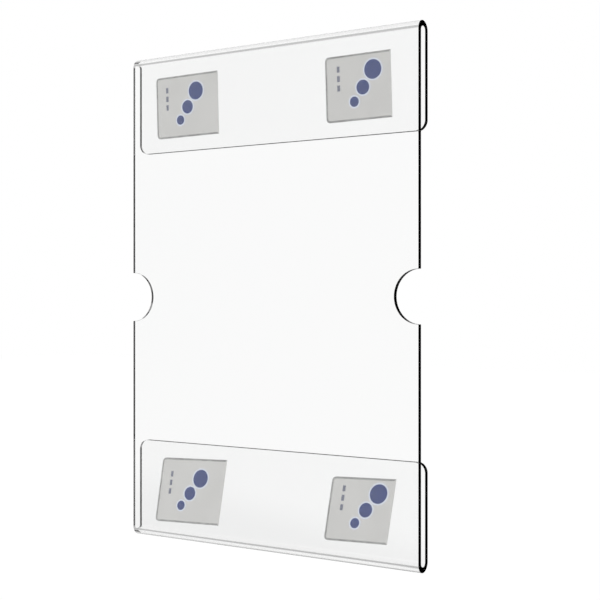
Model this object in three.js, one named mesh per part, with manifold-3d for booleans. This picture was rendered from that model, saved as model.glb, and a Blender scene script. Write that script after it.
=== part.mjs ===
// A clear acrylic frame that is stuck to a wall and holds one A4 print upright.
// One sheet makes the whole frame: its front panel turns back at the top and the bottom in a hairpin
// fold, and ends in two short flanges. The print slides in from the side, between panel and flanges.
// Four double-sided tape pads on the backs of the flanges, each under its release liner, hold it up.
// Sizes are millimetres. X runs to the viewer's right, Z runs up, and the wall is on the +Y side.

import * as THREE from "three";
import { mergeVertices, toCreasedNormals } from "three/addons/utils/BufferGeometryUtils.js";
import Module from "manifold-3d";

const wasm = await Module();
wasm.setup();

// The print that the frame is made for.
const PRINT_WIDTH = 210;
const PRINT_HEIGHT = 297;

// The slot that the print slides into. The play is what the print has above and below, in all.
const PRINT_SIDE_PLAY = 0;
const PRINT_HEIGHT_PLAY = 2;
const SLOT_GAP = 4.7;

// The acrylic sheet.
const SHEET_THICKNESS = 3.25;
const FLANGE_HEIGHT = 61.5;
const FLANGE_CORNER_RADIUS = 6;
const FINGER_NOTCH_RADIUS = 15.6;

// The tape pads and the liners that cover their wall sides.
const PAD_THICKNESS = 1;
const LINER_THICKNESS = 0.15;
const PAD_CORNER_RADIUS = 3;

// Where each pad sits on the flat of its flange, as seen from the front. The inset is from the sheet's
// side edge to the pad's middle. The edge margin is what is left towards the flange's free edge, and
// the fold margin what is left towards the fold.
const TOP_LEFT_PAD_WIDTH = 50.3;
const TOP_LEFT_PAD_INSET = 37.3;
const TOP_LEFT_PAD_EDGE_MARGIN = 9.3;
const TOP_LEFT_PAD_FOLD_MARGIN = 6.7;
const TOP_RIGHT_PAD_WIDTH = 44.6;
const TOP_RIGHT_PAD_INSET = 44.9;
const TOP_RIGHT_PAD_EDGE_MARGIN = 9.3;
const TOP_RIGHT_PAD_FOLD_MARGIN = 7.5;
const BOTTOM_LEFT_PAD_WIDTH = 51.8;
const BOTTOM_LEFT_PAD_INSET = 40.1;
const BOTTOM_LEFT_PAD_EDGE_MARGIN = 9.8;
const BOTTOM_LEFT_PAD_FOLD_MARGIN = 4.2;
const BOTTOM_RIGHT_PAD_WIDTH = 43;
const BOTTOM_RIGHT_PAD_INSET = 44;
const BOTTOM_RIGHT_PAD_EDGE_MARGIN = 11.8;
const BOTTOM_RIGHT_PAD_FOLD_MARGIN = 5.8;

// The pads were cut from a roll by hand, a little on the slant, and stuck on by eye. In degrees, the
// lean is how far a pad's sides tip to the right, and the rise how far its long edges climb.
const TOP_PAD_LEAN_DEGREES = -1.75;
const TOP_PAD_RISE_DEGREES = 0.3;
const BOTTOM_PAD_LEAN_DEGREES = 9.4;
const BOTTOM_PAD_RISE_DEGREES = 2.2;

// How finely round stretches are drawn, as straight pieces.
const HALF_FOLD_STEPS = 16;
const CORNER_STEPS = 6;
const NOTCH_STEPS = 96;

// How far a cut runs past the face that it leaves by.
const CUT_OVERRUN = 2;

// Faces that meet at more than this are shaded with a sharp edge between them.
const CREASE_DEGREES = 25;

// What follows from those sizes. Y is 0 on the backs of the flanges, where the pads sit.
const SHEET_WIDTH = PRINT_WIDTH + PRINT_SIDE_PLAY;
const FLAT_HALF_HEIGHT = (PRINT_HEIGHT + PRINT_HEIGHT_PLAY) / 2;
const FOLD_DEPTH = 2 * SHEET_THICKNESS + SLOT_GAP;
const FOLD_OUTER_RADIUS = FOLD_DEPTH / 2;
const FOLD_INNER_RADIUS = SLOT_GAP / 2;
const FLANGE_EDGE_Z = FLAT_HALF_HEIGHT + FOLD_OUTER_RADIUS - FLANGE_HEIGHT;
const SLOT_MIDDLE_Y = -FOLD_OUTER_RADIUS;
const TOTAL_DEPTH = FOLD_DEPTH + PAD_THICKNESS + LINER_THICKNESS;

// side is -1 for left and 1 for right, and up is 1 for the top flange and -1 for the bottom one.
const PADS = [
  {
    name: "top_left",
    side: -1,
    up: 1,
    width: TOP_LEFT_PAD_WIDTH,
    inset: TOP_LEFT_PAD_INSET,
    edgeMargin: TOP_LEFT_PAD_EDGE_MARGIN,
    foldMargin: TOP_LEFT_PAD_FOLD_MARGIN,
    lean: TOP_PAD_LEAN_DEGREES,
    rise: TOP_PAD_RISE_DEGREES,
  },
  {
    name: "top_right",
    side: 1,
    up: 1,
    width: TOP_RIGHT_PAD_WIDTH,
    inset: TOP_RIGHT_PAD_INSET,
    edgeMargin: TOP_RIGHT_PAD_EDGE_MARGIN,
    foldMargin: TOP_RIGHT_PAD_FOLD_MARGIN,
    lean: TOP_PAD_LEAN_DEGREES,
    rise: TOP_PAD_RISE_DEGREES,
  },
  {
    name: "bottom_left",
    side: -1,
    up: -1,
    width: BOTTOM_LEFT_PAD_WIDTH,
    inset: BOTTOM_LEFT_PAD_INSET,
    edgeMargin: BOTTOM_LEFT_PAD_EDGE_MARGIN,
    foldMargin: BOTTOM_LEFT_PAD_FOLD_MARGIN,
    lean: BOTTOM_PAD_LEAN_DEGREES,
    rise: BOTTOM_PAD_RISE_DEGREES,
  },
  {
    name: "bottom_right",
    side: 1,
    up: -1,
    width: BOTTOM_RIGHT_PAD_WIDTH,
    inset: BOTTOM_RIGHT_PAD_INSET,
    edgeMargin: BOTTOM_RIGHT_PAD_EDGE_MARGIN,
    foldMargin: BOTTOM_RIGHT_PAD_FOLD_MARGIN,
    lean: BOTTOM_PAD_LEAN_DEGREES,
    rise: BOTTOM_PAD_RISE_DEGREES,
  },
];

const clearAcrylic = new THREE.MeshStandardMaterial({
  color: 0xf3f6f6,
  roughness: 0.05,
  metalness: 0,
  transparent: true,
  opacity: 0.3,
});
const clearAdhesive = new THREE.MeshStandardMaterial({
  color: 0xe4e5e3,
  roughness: 0.25,
  metalness: 0,
  transparent: true,
  opacity: 0.5,
});
const linerPaper = new THREE.MeshStandardMaterial({
  color: 0xc5c5c3,
  roughness: 0.55,
  metalness: 0,
});

// Stands up a solid that was drawn in X and Y and extruded along Z: its Y turns to point up, and the
// extrusion runs back from frontY.
function standUp(geometry, depth, frontY) {
  return geometry.rotateX(Math.PI / 2).translate(0, frontY + depth, 0);
}

function extrude(outline, depth, curveSegments) {
  return new THREE.ExtrudeGeometry(outline, { depth, curveSegments, bevelEnabled: false });
}

function toSolid(geometry) {
  const bare = geometry.clone();
  bare.deleteAttribute("normal");
  bare.deleteAttribute("uv");
  const closed = mergeVertices(bare);
  const mesh = new wasm.Mesh({
    numProp: 3,
    vertProperties: closed.attributes.position.array,
    triVerts: new Uint32Array(closed.index.array),
  });
  return new wasm.Manifold(mesh);
}

function toGeometry(solid) {
  const { vertProperties, triVerts } = solid.getMesh();
  const geometry = new THREE.BufferGeometry();
  geometry.setAttribute("position", new THREE.BufferAttribute(vertProperties, 3));
  geometry.setIndex(new THREE.BufferAttribute(triVerts, 1));
  return toCreasedNormals(geometry, THREE.MathUtils.degToRad(CREASE_DEGREES));
}

// The sheet's section across the folds: x is the depth, with 0 on the backs of the flanges, and y
// runs up. It goes round counter-clockwise, from the top flange's free edge.
function foldedSection() {
  const panelBackY = SHEET_THICKNESS - FOLD_DEPTH;
  const section = new THREE.Shape();
  section.moveTo(0, FLANGE_EDGE_Z);
  section.lineTo(0, FLAT_HALF_HEIGHT);
  section.absarc(SLOT_MIDDLE_Y, FLAT_HALF_HEIGHT, FOLD_OUTER_RADIUS, 0, Math.PI, false);
  section.lineTo(-FOLD_DEPTH, -FLAT_HALF_HEIGHT);
  section.absarc(SLOT_MIDDLE_Y, -FLAT_HALF_HEIGHT, FOLD_OUTER_RADIUS, Math.PI, 2 * Math.PI, false);
  section.lineTo(0, -FLANGE_EDGE_Z);
  section.lineTo(-SHEET_THICKNESS, -FLANGE_EDGE_Z);
  section.lineTo(-SHEET_THICKNESS, -FLAT_HALF_HEIGHT);
  section.absarc(SLOT_MIDDLE_Y, -FLAT_HALF_HEIGHT, FOLD_INNER_RADIUS, 0, -Math.PI, true);
  section.lineTo(panelBackY, FLAT_HALF_HEIGHT);
  section.absarc(SLOT_MIDDLE_Y, FLAT_HALF_HEIGHT, FOLD_INNER_RADIUS, Math.PI, 0, true);
  section.lineTo(-SHEET_THICKNESS, FLANGE_EDGE_Z);
  section.closePath();
  return section;
}

// The section, extruded along the sheet's width.
function foldedSheet() {
  const geometry = extrude(foldedSection(), SHEET_WIDTH, HALF_FOLD_STEPS);
  const alongWidth = new THREE.Matrix4().makeBasis(
    new THREE.Vector3(0, 1, 0),
    new THREE.Vector3(0, 0, 1),
    new THREE.Vector3(1, 0, 0),
  );
  return geometry.applyMatrix4(alongWidth).translate(-SHEET_WIDTH / 2, 0, 0);
}

// What is cut away to round one free corner of a flange, without reaching the front panel.
function flangeCornerWaste(side, up) {
  const x = side * (SHEET_WIDTH / 2 - FLANGE_CORNER_RADIUS);
  const z = up * (FLANGE_EDGE_Z + FLANGE_CORNER_RADIUS);
  const outsideX = x + side * (FLANGE_CORNER_RADIUS + CUT_OVERRUN);
  const outsideZ = z - up * (FLANGE_CORNER_RADIUS + CUT_OVERRUN);
  const towardsEdge = Math.atan2(-up, 0);
  const towardsSide = Math.atan2(0, side);
  const outline = new THREE.Shape();
  outline.absarc(x, z, FLANGE_CORNER_RADIUS, towardsEdge, towardsSide, side * up < 0);
  outline.lineTo(outsideX, z);
  outline.lineTo(outsideX, outsideZ);
  outline.lineTo(x, outsideZ);
  outline.closePath();
  const depth = CUT_OVERRUN - SLOT_MIDDLE_Y;
  return standUp(extrude(outline, depth, CORNER_STEPS), depth, SLOT_MIDDLE_Y);
}

// The disc that a finger notch takes out of the front panel, centred on the sheet's side edge.
function fingerNotchWaste(side) {
  const depth = FOLD_OUTER_RADIUS + CUT_OVERRUN;
  const disc = new THREE.CylinderGeometry(
    FINGER_NOTCH_RADIUS,
    FINGER_NOTCH_RADIUS,
    depth,
    NOTCH_STEPS,
  );
  return disc.translate((side * SHEET_WIDTH) / 2, SLOT_MIDDLE_Y - depth / 2, 0);
}

function buildSheet() {
  let solid = toSolid(foldedSheet());
  for (const side of [-1, 1]) {
    solid = solid.subtract(toSolid(fingerNotchWaste(side)));
    for (const up of [-1, 1]) {
      solid = solid.subtract(toSolid(flangeCornerWaste(side, up)));
    }
  }
  const sheet = new THREE.Mesh(toGeometry(solid), clearAcrylic);
  sheet.name = "folded_acrylic_sheet";
  return sheet;
}

// The height of a pad, between its margins on the flat of the flange.
function padHeight(pad) {
  return FLAT_HALF_HEIGHT - FLANGE_EDGE_Z - pad.edgeMargin - pad.foldMargin;
}

// A pad's outline about its own middle: a slanted rectangle whose two left corners are rounded.
function padOutline(pad) {
  const halfLong = new THREE.Vector2(1, Math.tan(THREE.MathUtils.degToRad(pad.rise)));
  halfLong.multiplyScalar(pad.width / 2);
  const halfTall = new THREE.Vector2(Math.tan(THREE.MathUtils.degToRad(pad.lean)), 1);
  halfTall.multiplyScalar(padHeight(pad) / 2);
  const alongLong = halfLong.clone().setLength(PAD_CORNER_RADIUS);
  const alongTall = halfTall.clone().setLength(PAD_CORNER_RADIUS);
  const topRight = halfLong.clone().add(halfTall);
  const bottomRight = halfLong.clone().sub(halfTall);
  const topLeft = bottomRight.clone().negate();
  const bottomLeft = topRight.clone().negate();
  const afterTopLeft = topLeft.clone().sub(alongTall);
  const beforeTopLeft = topLeft.clone().add(alongLong);
  const beforeBottomLeft = bottomLeft.clone().add(alongTall);
  const afterBottomLeft = bottomLeft.clone().add(alongLong);
  const outline = new THREE.Shape();
  outline.moveTo(bottomRight.x, bottomRight.y);
  outline.lineTo(topRight.x, topRight.y);
  outline.lineTo(beforeTopLeft.x, beforeTopLeft.y);
  outline.quadraticCurveTo(topLeft.x, topLeft.y, afterTopLeft.x, afterTopLeft.y);
  outline.lineTo(beforeBottomLeft.x, beforeBottomLeft.y);
  outline.quadraticCurveTo(bottomLeft.x, bottomLeft.y, afterBottomLeft.x, afterBottomLeft.y);
  outline.closePath();
  return outline;
}

// One layer of a fixing, with its front face at frontY.
function padLayer(pad, name, thickness, frontY, material) {
  const geometry = extrude(padOutline(pad), thickness, CORNER_STEPS);
  const layer = new THREE.Mesh(geometry, material);
  layer.name = `${name}_${pad.name}`;
  layer.rotation.x = Math.PI / 2;
  layer.position.y = frontY + thickness;
  return layer;
}

// A tape pad on the back of its flange, with its liner behind it.
function buildFixing(pad) {
  const fixing = new THREE.Group();
  const x = pad.side * (SHEET_WIDTH / 2 - pad.inset);
  const z = pad.up * (FLANGE_EDGE_Z + pad.edgeMargin + padHeight(pad) / 2);
  fixing.position.set(x, 0, z);
  fixing.add(padLayer(pad, "tape_pad", PAD_THICKNESS, 0, clearAdhesive));
  fixing.add(padLayer(pad, "release_liner", LINER_THICKNESS, PAD_THICKNESS, linerPaper));
  return fixing;
}

// The frame's own origin is the middle of its box, so the backs of the flanges go to this depth.
const frame = new THREE.Group();
frame.position.y = FOLD_DEPTH - TOTAL_DEPTH / 2;
frame.add(buildSheet());
for (const pad of PADS) {
  frame.add(buildFixing(pad));
}

const photoFrame = new THREE.Group();
photoFrame.name = "acrylic_photo_frame";
photoFrame.add(frame);

export default photoFrame;
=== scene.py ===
"""Dresses the clear acrylic photo frame and sets it in a plain white studio.

The folded sheet, its four tape pads and their printed liners each take the place of their plain
solid. Lengths are metres, angles are degrees where a name says so, X runs to the viewer's right,
Z runs up, and the wall that the frame is made for is on the +Y side.
"""

import logging
import math
from collections.abc import Callable, Iterable
from dataclasses import dataclass, field
from enum import Enum, Flag, auto

import bpy
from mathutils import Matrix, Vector


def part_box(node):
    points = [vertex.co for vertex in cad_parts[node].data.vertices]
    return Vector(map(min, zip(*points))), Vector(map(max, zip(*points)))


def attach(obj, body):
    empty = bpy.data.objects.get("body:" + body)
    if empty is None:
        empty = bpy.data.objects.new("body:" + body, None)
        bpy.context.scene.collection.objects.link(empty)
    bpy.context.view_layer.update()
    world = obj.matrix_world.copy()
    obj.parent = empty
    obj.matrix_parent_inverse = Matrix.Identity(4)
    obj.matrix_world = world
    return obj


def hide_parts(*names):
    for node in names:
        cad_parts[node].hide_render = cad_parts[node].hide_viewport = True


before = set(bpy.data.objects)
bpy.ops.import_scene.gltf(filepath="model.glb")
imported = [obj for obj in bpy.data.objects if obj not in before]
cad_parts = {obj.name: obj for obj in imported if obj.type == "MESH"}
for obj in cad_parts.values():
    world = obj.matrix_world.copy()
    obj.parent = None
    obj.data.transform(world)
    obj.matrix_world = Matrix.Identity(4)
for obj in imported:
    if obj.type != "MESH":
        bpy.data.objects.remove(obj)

Socket = bpy.types.NodeSocket
Colour = tuple[float, float, float, float]
Ends = tuple[float, float]
Axes = tuple[float, float, float]
Value = Socket | float | Colour

LOG = logging.getLogger("photo_frame")
BODY = "root"

MM = 0.001
# Points closer than this are one point.
WELD = 1e-6
# Points closer than this to a place count as being there.
NEAR = 1e-5
# A face whose normal has this share along an axis looks along it.
FACING = 0.9
# How many facets a broken or rounded edge has.
EDGE_SEGMENTS = 3

# The liners' UV map, and how many metres one unit of it is.
LINER_UV = "liner_sheet"
LINER_SPAN = 60 * MM

# Most of a noise pattern lies between these two values.
NOISE_SPAN = (0.3, 0.7)

# Between no bounce and one bounce.
ANY_BOUNCE = 0.5
WHITE = (1.0, 1.0, 1.0, 1.0)


class Corner(Enum):
    """The four places where a tape pad sits, as seen from the front."""

    TOP_LEFT = "top_left"
    TOP_RIGHT = "top_right"
    BOTTOM_LEFT = "bottom_left"
    BOTTOM_RIGHT = "bottom_right"

    @property
    def is_top(self) -> bool:
        """True for the two pads on the top flange."""
        return self in (Corner.TOP_LEFT, Corner.TOP_RIGHT)


class MeshBench:
    """The few bench moves that every piece is made with."""

    @staticmethod
    def clear_selection() -> None:
        """Deselects every object."""
        bpy.ops.object.select_all(action="DESELECT")

    @staticmethod
    def pick(piece: bpy.types.Object) -> None:
        """Makes one object the only selected and the active one.

        Args:
            piece: The object.
        """
        MeshBench.clear_selection()
        piece.select_set(True)
        bpy.context.view_layer.objects.active = piece

    @staticmethod
    def settle(piece: bpy.types.Object) -> None:
        """Puts an object's place, turn and size into its mesh."""
        MeshBench.pick(piece)
        bpy.ops.object.transform_apply(location=True, rotation=True, scale=True)

    @staticmethod
    def deselect_mesh(kind: str) -> None:
        """Deselects the whole mesh of the active piece, which stays in object mode.

        Args:
            kind: FACE or EDGE, the kind of element that is selected next.
        """
        bpy.ops.object.mode_set(mode="EDIT")
        bpy.ops.mesh.select_mode(type=kind)
        bpy.ops.mesh.select_all(action="DESELECT")
        bpy.ops.object.mode_set(mode="OBJECT")

    @staticmethod
    def select_faces(
        piece: bpy.types.Object, wanted: Callable[[bpy.types.MeshPolygon], bool]
    ) -> None:
        """Selects the faces of the active piece that pass a test, and leaves edit mode open.

        Args:
            piece: The active piece.
            wanted: True for a face that is to be selected.
        """
        MeshBench.deselect_mesh("FACE")
        for face in piece.data.polygons:
            face.select = wanted(face)
        bpy.ops.object.mode_set(mode="EDIT")

    @staticmethod
    def select_edges(
        piece: bpy.types.Object, wanted: Callable[[Vector, Vector], bool]
    ) -> None:
        """Selects the edges of the active piece that pass a test, and leaves edit mode open.

        Args:
            piece: The active piece.
            wanted: True for the two ends of an edge that is to be selected.
        """
        MeshBench.deselect_mesh("EDGE")
        points = piece.data.vertices
        for edge in piece.data.edges:
            start, end = edge.vertices
            edge.select = wanted(points[start].co, points[end].co)
        bpy.ops.object.mode_set(mode="EDIT")

    @staticmethod
    def finish_with(piece: bpy.types.Object, kind: str, **settings: object) -> None:
        """Adds one modifier to a piece and applies it.

        Args:
            piece: The piece to change.
            kind: Blender's name for the modifier's type.
            **settings: The modifier's own settings.
        """
        MeshBench.pick(piece)
        modifier = piece.modifiers.new(kind.title(), kind)
        for name, value in settings.items():
            setattr(modifier, name, value)
        bpy.ops.object.modifier_apply(modifier=modifier.name)

    @staticmethod
    def merged_copy(node: str, name: str) -> bpy.types.Object:
        """Copies a node's solid into a new piece with joined, flat, many-sided faces.

        Args:
            node: The node to copy.
            name: The new piece's name.

        Returns:
            The new piece, active and in object mode.
        """
        flat_degrees = 0.5
        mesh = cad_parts[node].data.copy()
        mesh.materials.clear()
        piece = bpy.data.objects.new(name, mesh)
        bpy.context.scene.collection.objects.link(piece)
        MeshBench.pick(piece)
        bpy.ops.object.mode_set(mode="EDIT")
        bpy.ops.mesh.select_all(action="SELECT")
        bpy.ops.mesh.customdata_custom_splitnormals_clear()
        bpy.ops.mesh.remove_doubles(threshold=WELD)
        bpy.ops.mesh.dissolve_limited(angle_limit=math.radians(flat_degrees))
        bpy.ops.object.mode_set(mode="OBJECT")
        return piece


class NodeBench:
    """A node tree, with short ways to add and join its nodes."""

    def __init__(self, tree: bpy.types.NodeTree) -> None:
        """Takes the tree to work in."""
        self.tree = tree

    def add(self, kind: str, **settings: object) -> bpy.types.Node:
        """Adds a node.

        Args:
            kind: Blender's name for the node's type.
            **settings: The node's own settings.

        Returns:
            The node.
        """
        node = self.tree.nodes.new(kind)
        for name, value in settings.items():
            setattr(node, name, value)
        return node

    def join(self, source: Socket, target: Socket) -> None:
        """Links one socket to another."""
        self.tree.links.new(source, target)

    def put(self, target: Socket, value: Value) -> None:
        """Links a socket to a target, or sets the target to a plain value.

        Args:
            target: The input to fill.
            value: A socket, number or colour.
        """
        if isinstance(value, Socket):
            self.join(value, target)
        else:
            target.default_value = value

    def math(self, operation: str, *values: Value) -> Socket:
        """Adds a Math node.

        Args:
            operation: Blender's name for the operation.
            *values: Its inputs, as sockets or numbers.

        Returns:
            The node's result.
        """
        node = self.add("ShaderNodeMath", operation=operation)
        for target, value in zip(node.inputs, values):
            self.put(target, value)
        return node.outputs[0]

    def ramp(
        self, value: Socket, low: float, high: float, to_low: float, to_high: float
    ) -> Socket:
        """Turns one range of a value smoothly into another.

        Args:
            value: The value to map.
            low: Where the range starts.
            high: Where the range ends.
            to_low: The result at the start.
            to_high: The result at the end.

        Returns:
            The mapped value.
        """
        node = self.add("ShaderNodeMapRange", interpolation_type="SMOOTHSTEP")
        ends = {"From Min": low, "From Max": high, "To Min": to_low, "To Max": to_high}
        for name, number in ends.items():
            node.inputs[name].default_value = number
        self.join(value, node.inputs["Value"])
        return node.outputs["Result"]

    def mixed(self, kind: str, share: Value, first: Value, second: Value) -> Socket:
        """Mixes two values.

        Args:
            kind: FLOAT for numbers and RGBA for colours.
            share: The second value's share.
            first: The first value.
            second: The second value.

        Returns:
            The mixed value.
        """
        node = self.add("ShaderNodeMix", data_type=kind)
        self.put(node.inputs["Factor"], share)
        self.put(node.inputs["A"], first)
        self.put(node.inputs["B"], second)
        return node.outputs["Result"]

    def blend(self, share: Value, first: Value, second: Value) -> Socket:
        """Mixes two numbers by a share of the second one."""
        return self.mixed("FLOAT", share, first, second)

    def mix(self, share: Value, first: Value, second: Value) -> Socket:
        """Mixes two colours by a share of the second one."""
        return self.mixed("RGBA", share, first, second)


class ShaderSheet(NodeBench):
    """A material's node tree, which holds one Principled shader."""

    def __init__(self, name: str) -> None:
        """Starts the material.

        Args:
            name: The material's name.
        """
        self.material = bpy.data.materials.new(name)
        self.material.use_nodes = True
        super().__init__(self.material.node_tree)
        self.shader = next(n for n in self.tree.nodes if n.type == "BSDF_PRINCIPLED")
        self.output = next(n for n in self.tree.nodes if n.type == "OUTPUT_MATERIAL")

    def give(self, name: str, value: Value) -> None:
        """Links or sets one of the shader's own inputs."""
        self.put(self.shader.inputs[name], value)

    def object_place(self) -> Socket:
        """The shaded point's place in the frame."""
        return self.add("ShaderNodeTexCoord").outputs["Object"]

    def noise(self, place: Socket, scale: float, detail: float = 2.0) -> Socket:
        """Adds a noise pattern.

        Args:
            place: Where the pattern is read.
            scale: How many of its lumps there are to a metre.
            detail: How many finer layers it has.

        Returns:
            The pattern's value, about 0.5.
        """
        node = self.add("ShaderNodeTexNoise")
        node.inputs["Scale"].default_value = scale
        node.inputs["Detail"].default_value = detail
        self.join(place, node.inputs["Vector"])
        return node.outputs["Fac"]

    def spread(self, pattern: Socket, ends: Ends, span: Ends = NOISE_SPAN) -> Socket:
        """Spreads one span of a noise pattern's values over the range between two ends."""
        return self.ramp(pattern, *span, *ends)

    def stretched(self, place: Socket, scale: Axes) -> Socket:
        """Stretches the place that a pattern is read at.

        Args:
            place: The place.
            scale: What it is multiplied by along each axis.

        Returns:
            The stretched place.
        """
        node = self.add("ShaderNodeMapping")
        node.inputs["Scale"].default_value = scale
        self.join(place, node.inputs["Vector"])
        return node.outputs["Vector"]

    def bump(self, height: Socket, strength: float, depth: float) -> None:
        """Gives the shader a bump.

        Args:
            height: The bump's height, from 0 to 1.
            strength: How much of it shows.
            depth: How high 1 is, in metres.
        """
        node = self.add("ShaderNodeBump")
        node.inputs["Strength"].default_value = strength
        node.inputs["Distance"].default_value = depth
        self.join(height, node.inputs["Height"])
        self.give("Normal", node.outputs["Normal"])


@dataclass(frozen=True)
class ClearAcrylic:
    """Clear polished acrylic with patches of faint haze, and ripples where it was bent.

    Attributes:
        fold_start: The height at which the folds begin.
        tint: How much light each of its surfaces lets through.
        ior: How strongly it bends light.
        haze: The roughness of its haziest patches.
        patch_scale: How many patches of haze there are to a metre.
        patch_span: The part of the patches' pattern over which the haze sets in.
        ripple_depth: How high the ripples at the folds are.
        ripple_scale: How many ripples there are to a metre across.
        ripple_stretch: What their place is multiplied by along each axis.
        ripple_onset: The height over which the ripples set in.
    """

    fold_start: float
    tint: Colour = (0.995, 0.997, 0.996, 1.0)
    ior: float = 1.49
    haze: float = 0.02
    patch_scale: float = 22.0
    patch_span: Ends = (0.45, 0.75)
    ripple_depth: float = 0.001 * MM
    ripple_scale: float = 90.0
    ripple_stretch: Axes = (1.0, 0.2, 0.2)
    ripple_onset: float = 2 * MM

    def material(self) -> bpy.types.Material:
        """Builds the material.

        Returns:
            The material.
        """
        sheet = ShaderSheet("clear_acrylic")
        sheet.give("Base Color", self.tint)
        sheet.give("IOR", self.ior)
        sheet.give("Transmission Weight", 1.0)
        place = sheet.object_place()
        patches = sheet.noise(place, self.patch_scale)
        sheet.give("Roughness", sheet.spread(patches, (0.0, self.haze), self.patch_span))
        split = sheet.add("ShaderNodeSeparateXYZ")
        sheet.join(place, split.inputs["Vector"])
        height = sheet.math("ABSOLUTE", split.outputs["Z"])
        full_ripples = self.fold_start + self.ripple_onset
        in_fold = sheet.ramp(height, self.fold_start, full_ripples, 0.0, 1.0)
        ripples = sheet.noise(
            sheet.stretched(place, self.ripple_stretch), self.ripple_scale, detail=1.0
        )
        sheet.bump(sheet.math("MULTIPLY", ripples, in_fold), 1.0, self.ripple_depth)
        self.let_light_through(sheet)
        return sheet.material

    def let_light_through(self, sheet: ShaderSheet) -> None:
        """Lets lamplight and scattered light pass straight through to what is behind.

        Args:
            sheet: The material that is being built.
        """
        open_air = sheet.add("ShaderNodeBsdfTransparent")
        open_air.inputs["Color"].default_value = self.tint
        rays = sheet.add("ShaderNodeLightPath")
        surface = sheet.shader.outputs["BSDF"]
        for kind in ("Is Shadow Ray", "Is Diffuse Ray"):
            mix = sheet.add("ShaderNodeMixShader")
            sheet.join(rays.outputs[kind], mix.inputs["Fac"])
            sheet.join(surface, mix.inputs[1])
            sheet.join(open_air.outputs["BSDF"], mix.inputs[2])
            surface = mix.outputs["Shader"]
        sheet.join(surface, sheet.output.inputs["Surface"])


@dataclass(frozen=True)
class ClearAdhesive:
    """The clear soft tape between flange and liner, a little milky, with faint stretch marks.

    Attributes:
        colour: Its own colour.
        cloud_shade: How bright its darkest clouds are, as a share of that.
        body: How much it hides of what is behind it.
        roughness: Its roughness in the clear places and in the clouds.
        cloud: The size of its cloudy patches.
        mark_scale: How many stretch marks there are to a metre upwards.
        mark_stretch: What their place is multiplied by along each axis.
        mark_depth: How deep they are.
        mark_relief: How much of that depth shows.
    """

    colour: Colour = (0.86, 0.86, 0.85, 1.0)
    cloud_shade: float = 0.86
    body: float = 0.03
    roughness: Ends = (0.28, 0.5)
    cloud: float = 3 * MM
    mark_scale: float = 900.0
    mark_stretch: Axes = (0.15, 1.0, 1.0)
    mark_depth: float = 0.05 * MM
    mark_relief: float = 0.25

    def material(self) -> bpy.types.Material:
        """Builds the material.

        Returns:
            The material.
        """
        sheet = ShaderSheet("clear_adhesive")
        place = sheet.object_place()
        clouds = sheet.noise(place, 1 / self.cloud, detail=3.0)
        darker = tuple(self.cloud_shade * channel for channel in self.colour[:3]) + (1.0,)
        sheet.give("Base Color", sheet.mix(clouds, self.colour, darker))
        sheet.give("Roughness", sheet.spread(clouds, self.roughness))
        sheet.give("Alpha", self.body)
        marks = sheet.noise(sheet.stretched(place, self.mark_stretch), self.mark_scale)
        sheet.bump(marks, self.mark_relief, self.mark_depth)
        return sheet.material


@dataclass(frozen=True)
class Disc:
    """A printed round spot.

    Attributes:
        across: Its middle, from the liner's left edge.
        up: Its middle, from the liner's bottom edge.
        radius: Its radius.
    """

    across: float
    up: float
    radius: float


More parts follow.
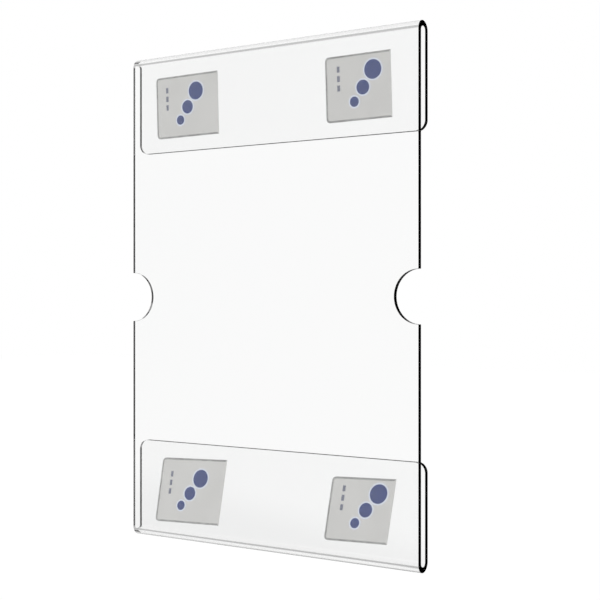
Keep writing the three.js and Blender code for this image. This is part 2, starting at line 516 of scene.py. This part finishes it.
@dataclass(frozen=True)
class LinerPaper:
    """Grey glassine paper with fine fibres and a plain print of blue spots and dark ticks.

    The print is laid out in metres on the liner's own UV map.

    Attributes:
        paper: The paper's colour.
        shade: The colour of its denser places.
        ink: The spots' colour.
        tick_ink: The ticks' colour.
        tick_cover: How much of the paper that thinner ink hides.
        halo: The colour of the pale rim round each spot.
        halo_reach: How far it reaches, at full strength and with its soft edge.
        spot_bleed: How far a spot's blurred edge reaches inwards and outwards.
        tick_bleed: How far a tick's blurred edge does.
        sheen: The paper's share of a usual gloss.
        roughness: The roughness of its thin and of its dense places.
        fibre_scale: How many fibres there are to a metre.
        fibre_stretch: What the fibres' place is multiplied by along each axis.
        cloud_scale: How many denser clouds there are to a metre.
        tooth: How deep the fibres lie.
        relief: How much of that depth shows.
        spots: The printed spots.
        tick_across: The ticks' middle, from the liner's left edge.
        tick_length: How long a tick is.
        tick_width: How wide a tick is.
        tick_pitch: From one tick's middle to the next one's.
        ticks_start: The lowest tick's middle, from the liner's bottom edge.
        tick_count: How many ticks there are.
    """

    paper: Colour = (0.65, 0.64, 0.628, 1.0)
    shade: Colour = (0.60, 0.59, 0.58, 1.0)
    ink: Colour = (0.001, 0.024, 0.18, 1.0)
    tick_ink: Colour = (0.07, 0.08, 0.16, 1.0)
    tick_cover: float = 0.85
    halo: Colour = (0.70, 0.74, 0.84, 1.0)
    halo_reach: Ends = (0.48 * MM, 1.2 * MM)
    spot_bleed: Ends = (0.25 * MM, 0.1 * MM)
    tick_bleed: Ends = (0.2 * MM, 0.15 * MM)
    sheen: float = 0.15
    roughness: Ends = (0.45, 0.6)
    fibre_scale: float = 700.0
    fibre_stretch: Axes = (1.0, 1.0, 0.35)
    cloud_scale: float = 45.0
    tooth: float = 0.03 * MM
    relief: float = 0.3
    spots: tuple[Disc, ...] = (
        Disc(32.5 * MM, 29.0 * MM, 5.8 * MM),
        Disc(25.5 * MM, 19.2 * MM, 4.4 * MM),
        Disc(19.5 * MM, 11.2 * MM, 3.1 * MM),
    )
    tick_across: float = 9.0 * MM
    tick_length: float = 3.6 * MM
    tick_width: float = 2.0 * MM
    tick_pitch: float = 5.6 * MM
    ticks_start: float = 20.0 * MM
    tick_count: int = 3

    def spot_distance(
        self, sheet: ShaderSheet, across: Socket, up: Socket, spot: Disc
    ) -> Socket:
        """How far the shaded point is outside a spot's edge, in metres.

        Args:
            sheet: The material that is being built.
            across: The point's distance from the left edge.
            up: The point's distance from the bottom edge.
            spot: The spot.

        Returns:
            The distance, negative inside the spot.
        """
        run = sheet.math("SUBTRACT", across, spot.across)
        climb = sheet.math("SUBTRACT", up, spot.up)
        run_squared = sheet.math("MULTIPLY", run, run)
        climb_squared = sheet.math("MULTIPLY", climb, climb)
        from_middle = sheet.math("SQRT", sheet.math("ADD", run_squared, climb_squared))
        return sheet.math("SUBTRACT", from_middle, spot.radius)

    def tick_distance(
        self, sheet: ShaderSheet, across: Socket, up: Socket, middle: float
    ) -> Socket:
        """How far the shaded point is outside a tick's edge, in metres.

        Args:
            sheet: The material that is being built.
            across: The point's distance from the left edge.
            up: The point's distance from the bottom edge.
            middle: The tick's middle, from the bottom edge.

        Returns:
            The distance, negative inside the tick.
        """
        run = sheet.math("ABSOLUTE", sheet.math("SUBTRACT", across, self.tick_across))
        climb = sheet.math("ABSOLUTE", sheet.math("SUBTRACT", up, middle))
        return sheet.math(
            "MAXIMUM",
            sheet.math("SUBTRACT", run, self.tick_width / 2),
            sheet.math("SUBTRACT", climb, self.tick_length / 2),
        )

    @staticmethod
    def nearest(sheet: ShaderSheet, distances: Iterable[Socket]) -> Socket:
        """Takes the smallest of some distances.

        Args:
            sheet: The material that is being built.
            distances: The distances, at least one.

        Returns:
            The smallest one.
        """
        smallest, *others = distances
        for distance in others:
            smallest = sheet.math("MINIMUM", smallest, distance)
        return smallest

    def printed(self, sheet: ShaderSheet, colour: Socket) -> Socket:
        """Prints the spots and ticks on the paper.

        Args:
            sheet: The material that is being built.
            colour: The bare paper's colour.

        Returns:
            The printed paper's colour.
        """
        uv = sheet.add("ShaderNodeUVMap", uv_map=LINER_UV)
        split = sheet.add("ShaderNodeSeparateXYZ")
        sheet.join(uv.outputs["UV"], split.inputs["Vector"])
        across = sheet.math("MULTIPLY", split.outputs["X"], LINER_SPAN)
        up = sheet.math("MULTIPLY", split.outputs["Y"], LINER_SPAN)
        from_spot = self.nearest(
            sheet, [self.spot_distance(sheet, across, up, spot) for spot in self.spots]
        )
        in_halo = sheet.ramp(from_spot, *self.halo_reach, 1.0, 0.0)
        colour = sheet.mix(in_halo, colour, self.halo)
        inwards, outwards = self.spot_bleed
        in_spot = sheet.ramp(from_spot, -inwards, outwards, 1.0, 0.0)
        colour = sheet.mix(in_spot, colour, self.ink)
        middles = [self.ticks_start + n * self.tick_pitch for n in range(self.tick_count)]
        from_tick = self.nearest(
            sheet, [self.tick_distance(sheet, across, up, middle) for middle in middles]
        )
        inwards, outwards = self.tick_bleed
        in_tick = sheet.ramp(from_tick, -inwards, outwards, self.tick_cover, 0.0)
        return sheet.mix(in_tick, colour, self.tick_ink)

    def material(self) -> bpy.types.Material:
        """Builds the material.

        Returns:
            The material.
        """
        sheet = ShaderSheet("printed_liner")
        place = sheet.object_place()
        along_fibres = sheet.stretched(place, self.fibre_stretch)
        fibres = sheet.noise(along_fibres, self.fibre_scale, detail=4.0)
        clouds = sheet.noise(place, self.cloud_scale)
        grain = sheet.blend(0.5, fibres, clouds)
        density = sheet.spread(grain, (0.0, 1.0))
        bare = sheet.mix(density, self.paper, self.shade)
        sheet.give("Base Color", self.printed(sheet, bare))
        sheet.give("Roughness", sheet.spread(grain, self.roughness))
        sheet.give("Specular IOR Level", self.sheen)
        sheet.bump(fibres, self.relief, self.tooth)
        return sheet.material


@dataclass(frozen=True)
class PaintedRimShade:
    """The painted shade along the liner's cut edge, a dark grey that is deeper in patches.

    Attributes:
        light_shade: The colour of its lighter patches of painted shade.
        deep_shade: The colour of its deeper ones.
        blotch_scale: How many patches there are to a metre.
        blotch_span: The part of the patches' pattern over which the painted shade deepens.
        roughness: The roughness of its lighter and of its deeper patches.
        tooth: How deep its pressed fibres lie.
        relief: How much of that depth shows.
    """

    # Painted shade: dark greys that stand in for the shade along the liner's cut edge.
    light_shade: Colour = (0.36, 0.36, 0.355, 1.0)
    deep_shade: Colour = (0.25, 0.25, 0.245, 1.0)
    blotch_scale: float = 260.0
    blotch_span: Ends = (0.35, 0.65)
    roughness: Ends = (0.5, 0.7)
    tooth: float = 0.03 * MM
    relief: float = 0.3

    def material(self) -> bpy.types.Material:
        """Builds the material.

        Returns:
            The material.
        """
        sheet = ShaderSheet("liner_rim_painted_shade")
        blotches = sheet.noise(sheet.object_place(), self.blotch_scale, detail=3.0)
        shade_depth = sheet.spread(blotches, (0.0, 1.0), self.blotch_span)
        # Painted shade, deeper in patches, as the rim's colour.
        sheet.give("Base Color", sheet.mix(shade_depth, self.light_shade, self.deep_shade))
        sheet.give("Roughness", sheet.spread(blotches, self.roughness))
        sheet.bump(blotches, self.relief, self.tooth)
        return sheet.material


@dataclass
class FoldedSheet:
    """The frame's one folded sheet of acrylic.

    Attributes:
        node: The name of its solid.
        thickness: The sheet's thickness.
        flange_height: From the outside of a fold to its flange's free edge.
        flange_corner: The radius of a flange's free corners.
        notch_radius: The radius of the finger notches.
        edge_break: How wide the polished edges are broken.
        broken_degrees: The angle from which an edge is sharp enough to be broken.
        fold_steps: How many facets a fold has.
        corner_steps: How many facets a flange's corner has.
        notch_steps: How many facets a full round of a notch would have.
        low: The lowest corner of its box.
        high: The highest corner of its box.
    """

    node: str = "folded_acrylic_sheet"
    thickness: float = 3.25 * MM
    flange_height: float = 61.5 * MM
    flange_corner: float = 6 * MM
    notch_radius: float = 15.6 * MM
    edge_break: float = 0.1 * MM
    broken_degrees: float = 40.0
    fold_steps: int = 48
    corner_steps: int = 16
    notch_steps: int = 128
    low: Vector = field(init=False)
    high: Vector = field(init=False)

    def __post_init__(self) -> None:
        """Reads the sheet's box from the frame."""
        self.low, self.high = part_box(self.node)

    @property
    def depth(self) -> float:
        """From the panel's front to the flanges' backs."""
        return self.high.y - self.low.y

    @property
    def fold_centre(self) -> Vector:
        """The middle of the top fold's half circle."""
        return Vector((0.0, (self.low.y + self.high.y) / 2, self.high.z - self.depth / 2))

    @property
    def panel_middle(self) -> float:
        """How far back the middle of the panel's own thickness lies."""
        return self.low.y + self.thickness / 2

    @property
    def flange_edge(self) -> float:
        """How high the top flange's free edge lies."""
        return self.high.z - self.flange_height

    def build(self) -> bpy.types.Object:
        """Models the sheet and dresses it.

        Returns:
            The finished piece.
        """
        piece = self.panel()
        for up in (1, -1):
            self.fold(piece, up)
        self.round_flanges(piece)
        for side in (-1, 1):
            self.notch(piece, side)
        self.break_edges(piece)
        finish = ClearAcrylic(fold_start=self.fold_centre.z)
        piece.data.materials.append(finish.material())
        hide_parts(self.node)
        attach(piece, BODY)
        return piece

    def panel(self) -> bpy.types.Object:
        """Adds the flat front panel.

        Returns:
            The panel.
        """
        MeshBench.clear_selection()
        bpy.ops.mesh.primitive_cube_add(
            size=1,
            location=(0, self.panel_middle, 0),
            scale=(self.high.x - self.low.x, self.thickness, 2 * self.fold_centre.z),
        )
        piece = bpy.context.object
        piece.name = piece.data.name = "clear_folded_sheet"
        MeshBench.settle(piece)
        return piece

    def fold(self, piece: bpy.types.Object, up: int) -> None:
        """Turns the panel's end back through half a circle and draws its flange out.

        Args:
            piece: The sheet so far.
            up: 1 for the top fold and -1 for the bottom one.
        """
        end = self.fold_centre.z

        def at_end(face: bpy.types.MeshPolygon) -> bool:
            """True for the face that closes this end of the panel."""
            return face.normal.z * up > FACING and face.center.z * up > end - NEAR

        MeshBench.pick(piece)
        MeshBench.select_faces(piece, at_end)
        bpy.ops.mesh.spin(
            steps=self.fold_steps,
            angle=up * math.pi,
            center=(0, self.fold_centre.y, up * end),
            axis=(1, 0, 0),
        )
        bpy.ops.mesh.extrude_region_move(
            TRANSFORM_OT_translate={"value": (0, 0, up * (self.flange_edge - end))}
        )
        bpy.ops.mesh.select_all(action="SELECT")
        bpy.ops.mesh.remove_doubles(threshold=WELD)
        bpy.ops.mesh.normals_make_consistent(inside=False)
        bpy.ops.object.mode_set(mode="OBJECT")

    def round_flanges(self, piece: bpy.types.Object) -> None:
        """Rounds the free corners of both flanges.

        Args:
            piece: The folded sheet.
        """

        def at_corner(start: Vector, end: Vector) -> bool:
            """True for an edge through the sheet at a flange's free corner."""
            through = abs(start.y - end.y) > self.thickness / 2
            at_edge = all(abs(abs(p.z) - self.flange_edge) < NEAR for p in (start, end))
            on_flange = all(p.y > self.fold_centre.y for p in (start, end))
            return through and at_edge and on_flange

        MeshBench.pick(piece)
        MeshBench.select_edges(piece, at_corner)
        bpy.ops.mesh.bevel(
            offset=self.flange_corner, segments=self.corner_steps, affect="EDGES"
        )
        bpy.ops.object.mode_set(mode="OBJECT")

    def notch(self, piece: bpy.types.Object, side: int) -> None:
        """Cuts a finger notch out of the panel.

        Args:
            piece: The folded sheet.
            side: -1 for the left notch and 1 for the right one.
        """
        MeshBench.clear_selection()
        bpy.ops.mesh.primitive_cylinder_add(
            vertices=self.notch_steps,
            radius=self.notch_radius,
            depth=2 * self.thickness,
            location=(side * self.high.x, self.panel_middle, 0),
            rotation=(math.pi / 2, 0, 0),
        )
        cutter = bpy.context.object
        MeshBench.settle(cutter)
        MeshBench.finish_with(
            piece, "BOOLEAN", operation="DIFFERENCE", solver="EXACT", object=cutter
        )
        bpy.data.objects.remove(cutter)

    def break_edges(self, piece: bpy.types.Object) -> None:
        """Breaks the sharp edges finely and smooths the folds between them.

        Args:
            piece: The folded sheet with its notches.
        """
        MeshBench.pick(piece)
        bpy.ops.object.shade_smooth()
        MeshBench.finish_with(
            piece,
            "BEVEL",
            width=self.edge_break,
            segments=EDGE_SEGMENTS,
            limit_method="ANGLE",
            angle_limit=math.radians(self.broken_degrees),
            harden_normals=True,
        )
        MeshBench.finish_with(piece, "WEIGHTED_NORMAL", weight=100, keep_sharp=True)


@dataclass
class TapePad:
    """One clear double-sided tape pad on the back of a flange.

    Attributes:
        corner: Which of the four pads it is.
        contact: How far its faces stay from the sheet's and the liner's.
        edge_round: How far its soft cut edges are rounded.
        rounded_degrees: The angle from which an edge is rounded.
        smooth_degrees: The angle up to which its faces are shaded as one.
    """

    corner: Corner
    contact: float = 0.02 * MM
    edge_round: float = 0.22 * MM
    rounded_degrees: float = 60.0
    smooth_degrees: float = 40.0

    @property
    def node(self) -> str:
        """The name of the pad's solid."""
        return f"tape_pad_{self.corner.value}"

    def build(self, finish: bpy.types.Material) -> bpy.types.Object:
        """Models the pad and dresses it.

        Args:
            finish: The adhesive's material.

        Returns:
            The finished piece.
        """
        piece = MeshBench.merged_copy(self.node, f"clear_tape_{self.corner.value}")
        low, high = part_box(self.node)
        middle = (low + high) / 2
        depth = high.y - low.y
        MeshBench.select_faces(piece, lambda face: True)
        bpy.ops.transform.resize(
            value=(1, 1 - 2 * self.contact / depth, 1), center_override=tuple(middle)
        )
        bpy.ops.object.mode_set(mode="OBJECT")
        MeshBench.finish_with(
            piece,
            "BEVEL",
            width=self.edge_round,
            segments=EDGE_SEGMENTS,
            limit_method="ANGLE",
            angle_limit=math.radians(self.rounded_degrees),
        )
        MeshBench.pick(piece)
        bpy.ops.object.shade_smooth_by_angle(angle=math.radians(self.smooth_degrees))
        piece.data.materials.append(finish)
        piece.visible_shadow = False
        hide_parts(self.node)
        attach(piece, BODY)
        return piece


@dataclass
class LinerPiece:
    """The printed release liner on one pad's wall side.

    Attributes:
        corner: Which of the four liners it is.
        rim_width: How wide its cut rim is, which carries painted shade.
        top_degrees: How far the upper liners' left edges lean right and bottom edges rise.
        bottom_degrees: How far those of the lower liners do.
        unshaded_from: How far right the rim is left without painted shade, as a share of half
            the width.
        unshaded_height: How high that unshaded stretch is, as a share of the height.
    """

    corner: Corner
    rim_width: float = 1.2 * MM
    top_degrees: Ends = (-1.75, 0.3)
    bottom_degrees: Ends = (9.4, 2.2)
    unshaded_from: float = 0.75
    unshaded_height: float = 0.5

    @property
    def node(self) -> str:
        """The name of the liner's solid."""
        return f"release_liner_{self.corner.value}"

    def build(self, paper: bpy.types.Material, rim_shade: bpy.types.Material) -> bpy.types.Object:
        """Models the liner and dresses it.

        Args:
            paper: The printed paper's material.
            rim_shade: The material of the painted shade on the rim.

        Returns:
            The finished piece.
        """
        piece = MeshBench.merged_copy(self.node, f"printed_liner_{self.corner.value}")
        MeshBench.select_faces(piece, lambda face: abs(face.normal.y) > FACING)
        bpy.ops.mesh.inset(thickness=self.rim_width, depth=0)
        bpy.ops.object.mode_set(mode="OBJECT")
        piece.data.materials.append(paper)
        piece.data.materials.append(rim_shade)
        self.lay_out(piece)
        # Paints shade on the rim.
        self.paint_rim_shade(piece, rim_shade)
        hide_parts(self.node)
        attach(piece, BODY)
        return piece

    def lay_out(self, piece: bpy.types.Object) -> None:
        """Gives the liner a UV map that runs from its own left and bottom edges.

        Args:
            piece: The liner.
        """
        angles = self.top_degrees if self.corner.is_top else self.bottom_degrees
        lean, rise = (math.tan(math.radians(angle)) for angle in angles)
        points = [vertex.co for vertex in piece.data.vertices]
        across = [point.x - point.z * lean for point in points]
        up = [point.z - point.x * rise for point in points]
        left, bottom = min(across), min(up)
        layer = piece.data.uv_layers.new(name=LINER_UV)
        for loop in piece.data.loops:
            vertex = loop.vertex_index
            layer.data[loop.index].uv = (
                (across[vertex] - left) / LINER_SPAN,
                (up[vertex] - bottom) / LINER_SPAN,
            )
        for name in [layer.name for layer in piece.data.uv_layers]:
            if name != LINER_UV:
                piece.data.uv_layers.remove(piece.data.uv_layers[name])

    def paint_rim_shade(self, piece: bpy.types.Object, rim_shade: bpy.types.Material) -> None:
        """Paints shade on the rim's left, top and bottom stretches and on the ends of its right
        one, and leaves only the middle of the right stretch unshaded.

        Args:
            piece: The liner, with its rim inset and both materials on it.
            rim_shade: The material of the painted shade on the rim.
        """
        low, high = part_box(self.node)
        half = (high - low) / 2
        middle = (high + low) / 2
        rim_shade_index = piece.data.materials.find(rim_shade.name)
        for face in piece.data.polygons:
            if abs(face.normal.y) < FACING:
                continue
            # The rim's faces are four-sided, and the middle's corners are round.
            is_rim = len(face.vertices) == 4
            far_right = face.center.x - middle.x > half.x * self.unshaded_from
            halfway_up = abs(face.center.z - middle.z) < half.z * self.unshaded_height
            # Painted shade on every rim face but the middle of the right stretch.
            if is_rim and not (far_right and halfway_up):
                face.material_index = rim_shade_index


class Seen(Flag):
    """The ways in which the acrylic shows its surroundings."""

    THROUGH = auto()
    INSIDE = auto()
    MIRRORED = auto()


@dataclass(frozen=True)
class DarkCard:
    """A dark card far off, which only shows through, inside and on the acrylic.

    Attributes:
        seen: Whether it shows straight through the acrylic, after a mirroring inside it, or
            mirrored on its outside.
        turn_degrees: Its direction, turned from straight behind the frame to the right.
        rise_degrees: How high its direction rises from level.
        full_degrees: How far it reaches from there at full darkness.
        fade_degrees: How far it reaches with its soft border.
        level: How bright it still is.
    """

    seen: Seen
    turn_degrees: float
    rise_degrees: float
    full_degrees: float
    fade_degrees: float
    level: float

    @property
    def towards(self) -> Vector:
        """Its direction from the frame, one unit long."""
        turn = math.radians(self.turn_degrees)
        rise = math.radians(self.rise_degrees)
        run = math.cos(rise)
        return Vector((run * math.sin(turn), run * math.cos(turn), math.sin(rise)))


@dataclass(frozen=True)
class Surroundings:
    """How bright the white surroundings are to each kind of ray.

    Attributes:
        ambient: How strongly they light a surface, where 1 is white.
        cards: The dark cards.
    """

    ambient: float = 0.7
    cards: tuple[DarkCard, ...] = (
        # Behind, for the upright cut edges, and in front, for the panel's own reflection.
        DarkCard(Seen.INSIDE | Seen.MIRRORED, 33.7, 0.0, 15.0, 21.0, 0.02),
        DarkCard(Seen.INSIDE | Seen.MIRRORED, 213.7, 0.0, 22.0, 40.0, 0.5),
        # High and low behind, for the notches and the flanges' corners.
        DarkCard(Seen.INSIDE | Seen.MIRRORED, 18.48, 28.74, 22.0, 31.0, 0.12),
        DarkCard(Seen.INSIDE, 18.48, -28.74, 22.0, 31.0, 0.3),
        DarkCard(Seen.INSIDE, -10.01, 30.33, 16.0, 18.5, 0.25),
        DarkCard(Seen.INSIDE, -10.01, -30.33, 16.0, 18.5, 0.3),
        # Straight behind and in front, for the edges as seen from there.
        DarkCard(Seen.INSIDE, 0.0, 0.0, 14.0, 20.0, 0.25),
        DarkCard(Seen.INSIDE, 180.0, 0.0, 14.0, 20.0, 0.25),
        # Overhead, and the whole half that lies low in front.
        DarkCard(Seen.THROUGH | Seen.INSIDE, 0.0, 90.0, 40.0, 60.0, 0.52),
        DarkCard(Seen.THROUGH | Seen.INSIDE, 204.24, -71.39, 87.5, 90.0, 0.94),
        # On both sides, for the sheet as seen along its whole width.
        DarkCard(Seen.THROUGH | Seen.INSIDE, -90.0, 0.0, 12.0, 25.0, 0.45),
        DarkCard(Seen.THROUGH | Seen.INSIDE, 90.0, 0.0, 12.0, 25.0, 0.45),
        # Underneath, for the bottom fold.
        DarkCard(Seen.INSIDE | Seen.MIRRORED, 0.0, -90.0, 40.0, 52.0, 0.5),
        # Behind, and the whole half that lies low behind, only mirrored on the outside.
        DarkCard(Seen.MIRRORED, -33.7, 0.0, 10.0, 13.0, 0.1),
        DarkCard(Seen.MIRRORED, 5.77, 0.0, 30.0, 36.0, 0.1),
        DarkCard(Seen.MIRRORED, -24.24, -71.39, 87.5, 90.0, 0.8),
    )

    def darkened(self, nodes: NodeBench, direction: Socket, seen: Seen) -> Socket:
        """How bright they are in a direction with the cards in place.

        Args:
            nodes: The node tree that is being built.
            direction: The direction, one unit long.
            seen: The way in which they are seen.

        Returns:
            The brightness, where 1 is white.
        """
        brightness: Value = 1.0
        for card in self.cards:
            if seen not in card.seen:
                continue
            along = nodes.add("ShaderNodeVectorMath", operation="DOT_PRODUCT")
            nodes.join(direction, along.inputs[0])
            along.inputs[1].default_value = card.towards
            edge = math.cos(math.radians(card.fade_degrees))
            core = math.cos(math.radians(card.full_degrees))
            level = nodes.ramp(along.outputs["Value"], edge, core, 1.0, card.level)
            brightness = nodes.math("MULTIPLY", brightness, level)
        return brightness

    def level(self, nodes: NodeBench, rays: bpy.types.Node, direction: Socket) -> Socket:
        """How bright they are to a ray that doesn't come straight from the camera.

        Args:
            nodes: The node tree that is being built.
            rays: Its Light Path node.
            direction: Where the ray looks, one unit long.

        Returns:
            The brightness, where 1 is white.
        """
        through = self.darkened(nodes, direction, Seen.THROUGH)
        inside = self.darkened(nodes, direction, Seen.INSIDE)
        mirrored = self.darkened(nodes, direction, Seen.MIRRORED)
        was_mirrored = nodes.math("GREATER_THAN", rays.outputs["Glossy Depth"], ANY_BOUNCE)
        refracted = nodes.blend(was_mirrored, through, inside)
        seen = nodes.blend(rays.outputs["Is Transmission Ray"], mirrored, refracted)
        unscattered = nodes.math("LESS_THAN", rays.outputs["Diffuse Depth"], ANY_BOUNCE)
        is_seen = nodes.math("MULTIPLY", rays.outputs["Is Glossy Ray"], unscattered)
        return nodes.blend(is_seen, self.ambient, seen)


@dataclass(frozen=True)
class StudioFloor:
    """The plain white floor, well below a frame that hangs on a wall.

    Attributes:
        drop: How far below the frame's middle it lies.
        span: How wide it is.
        colour: Its own colour.
        roughness: Its roughness.
        glow: How much of its white doesn't depend on the light that falls on it.
        glow_strength: How bright that share is, so that the whole is just white.
    """

    drop: float = 1.3
    span: float = 40.0
    colour: Colour = (0.93, 0.93, 0.93, 1.0)
    roughness: float = 0.9
    glow: float = 0.8
    glow_strength: float = 1.1

    def material(self, surroundings: Surroundings) -> bpy.types.Material:
        """Builds the floor's material, which keeps the shadows that fall on it.

        Args:
            surroundings: What it looks like in the acrylic.

        Returns:
            The material.
        """
        sheet = ShaderSheet("studio_floor")
        sheet.give("Base Color", self.colour)
        sheet.give("Roughness", self.roughness)
        rays = sheet.add("ShaderNodeLightPath")
        is_camera = rays.outputs["Is Camera Ray"]
        away = sheet.add("ShaderNodeVectorMath", operation="NORMALIZE")
        sheet.join(sheet.object_place(), away.inputs[0])
        level = surroundings.level(sheet, rays, away.outputs["Vector"])
        glow = sheet.add("ShaderNodeEmission")
        sheet.put(glow.inputs["Strength"], sheet.blend(is_camera, level, self.glow_strength))
        camera_share = sheet.math("MULTIPLY", is_camera, self.glow)
        share = sheet.math("MAXIMUM", camera_share, rays.outputs["Is Glossy Ray"])
        mix = sheet.add("ShaderNodeMixShader")
        sheet.join(share, mix.inputs["Fac"])
        sheet.join(sheet.shader.outputs["BSDF"], mix.inputs[1])
        sheet.join(glow.outputs["Emission"], mix.inputs[2])
        sheet.join(mix.outputs["Shader"], sheet.output.inputs["Surface"])
        return sheet.material

    def build(self, surroundings: Surroundings) -> None:
        """Adds the floor.

        Args:
            surroundings: What it looks like in the acrylic.
        """
        MeshBench.clear_selection()
        bpy.ops.mesh.primitive_plane_add(size=self.span, location=(0, 0, -self.drop))
        floor = bpy.context.object
        floor.name = "studio_floor"
        MeshBench.settle(floor)
        floor.data.materials.append(self.material(surroundings))


@dataclass(frozen=True)
class SoftLamp:
    """A large soft lamp that looks at the frame and only lights what scatters light.

    Attributes:
        name: The lamp's name.
        place: Where it stands.
        size: How wide it is.
        watts: How strong it is.
    """

    name: str
    place: Axes
    size: float
    watts: float

    def build(self) -> None:
        """Adds the lamp."""
        data = bpy.data.lights.new(self.name, "AREA")
        data.size = self.size
        data.energy = self.watts
        lamp = bpy.data.objects.new(self.name, data)
        lamp.location = self.place
        lamp.rotation_euler = (-Vector(self.place)).to_track_quat("-Z", "Y").to_euler()
        lamp.visible_transmission = False
        lamp.visible_glossy = False
        bpy.context.scene.collection.objects.link(lamp)


@dataclass(frozen=True)
class Studio:
    """The white surroundings, the lamps and the floor.

    Attributes:
        surroundings: How bright the surroundings are.
        floor: The floor.
        lamps: The soft lamps.
    """

    surroundings: Surroundings = Surroundings()
    floor: StudioFloor = StudioFloor()
    lamps: tuple[SoftLamp, ...] = (
        SoftLamp("key_lamp", place=(-0.9, -1.6, -0.4), size=1.2, watts=16.5),
        SoftLamp("back_lamp", place=(0.8, 1.5, 1.2), size=1.4, watts=16.0),
    )

    def build(self) -> None:
        """Lights the scene and lays the floor."""
        world = bpy.data.worlds.new("white_studio")
        bpy.context.scene.world = world
        world.use_nodes = True
        nodes = NodeBench(world.node_tree)
        background = next(n for n in world.node_tree.nodes if n.type == "BACKGROUND")
        background.inputs["Color"].default_value = WHITE
        rays = nodes.add("ShaderNodeLightPath")
        direction = nodes.add("ShaderNodeTexCoord").outputs["Generated"]
        level = self.surroundings.level(nodes, rays, direction)
        strength = nodes.blend(rays.outputs["Is Camera Ray"], level, 1.0)
        nodes.join(strength, background.inputs["Strength"])
        for lamp in self.lamps:
            lamp.build()
        self.floor.build(self.surroundings)
        bpy.context.scene.view_settings.view_transform = "Standard"


@dataclass(frozen=True)
class PhotoCamera:
    """The camera, level and off to the right of the frame's front.

    Attributes:
        azimuth_degrees: How far to the right of the front it stands.
        distance: From the frame's front to the camera's own plane.
        aside: How far to its right it passes the frame's middle.
        drop: How far below the frame's middle it stands.
        lens: Its focal length in millimetres.
        sensor: Its sensor's width in millimetres.
    """

    azimuth_degrees: float = 33.72
    distance: float = 0.73492
    aside: float = 0.02143
    drop: float = 0.00195
    lens: float = 72.9
    sensor: float = 36.0

    def build(self, front_y: float) -> None:
        """Adds the camera and makes it the scene's own.

        Args:
            front_y: Where the frame's front face lies.
        """
        turn = math.radians(self.azimuth_degrees)
        forward = Vector((-math.sin(turn), math.cos(turn), 0))
        right = Vector((math.cos(turn), math.sin(turn), 0))
        data = bpy.data.cameras.new("photo_camera")
        data.lens = self.lens
        data.sensor_width = self.sensor
        camera = bpy.data.objects.new("photo_camera", data)
        centre = Vector((0, front_y, -self.drop))
        camera.location = centre + self.aside * right - self.distance * forward
        camera.rotation_euler = (math.pi / 2, 0, turn)
        bpy.context.scene.collection.objects.link(camera)
        bpy.context.scene.camera = camera


def main() -> None:
    """Builds the frame's pieces in order, then the studio and the camera."""
    logging.basicConfig(level=logging.INFO, format="%(message)s", force=True)
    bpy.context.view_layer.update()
    sheet = FoldedSheet()
    piece = sheet.build()
    LOG.info("%s: %d faces", piece.name, len(piece.data.polygons))
    adhesive = ClearAdhesive().material()
    paper = LinerPaper().material()
    # Painted shade for the liners' rims.
    rim_shade = PaintedRimShade().material()
    for corner in Corner:
        for piece in (TapePad(corner).build(adhesive), LinerPiece(corner).build(paper, rim_shade)):
            LOG.info("%s: %d faces", piece.name, len(piece.data.polygons))
    Studio().build()
    PhotoCamera().build(sheet.low.y)
    MeshBench.clear_selection()


if __name__ == "__main__":
    main()
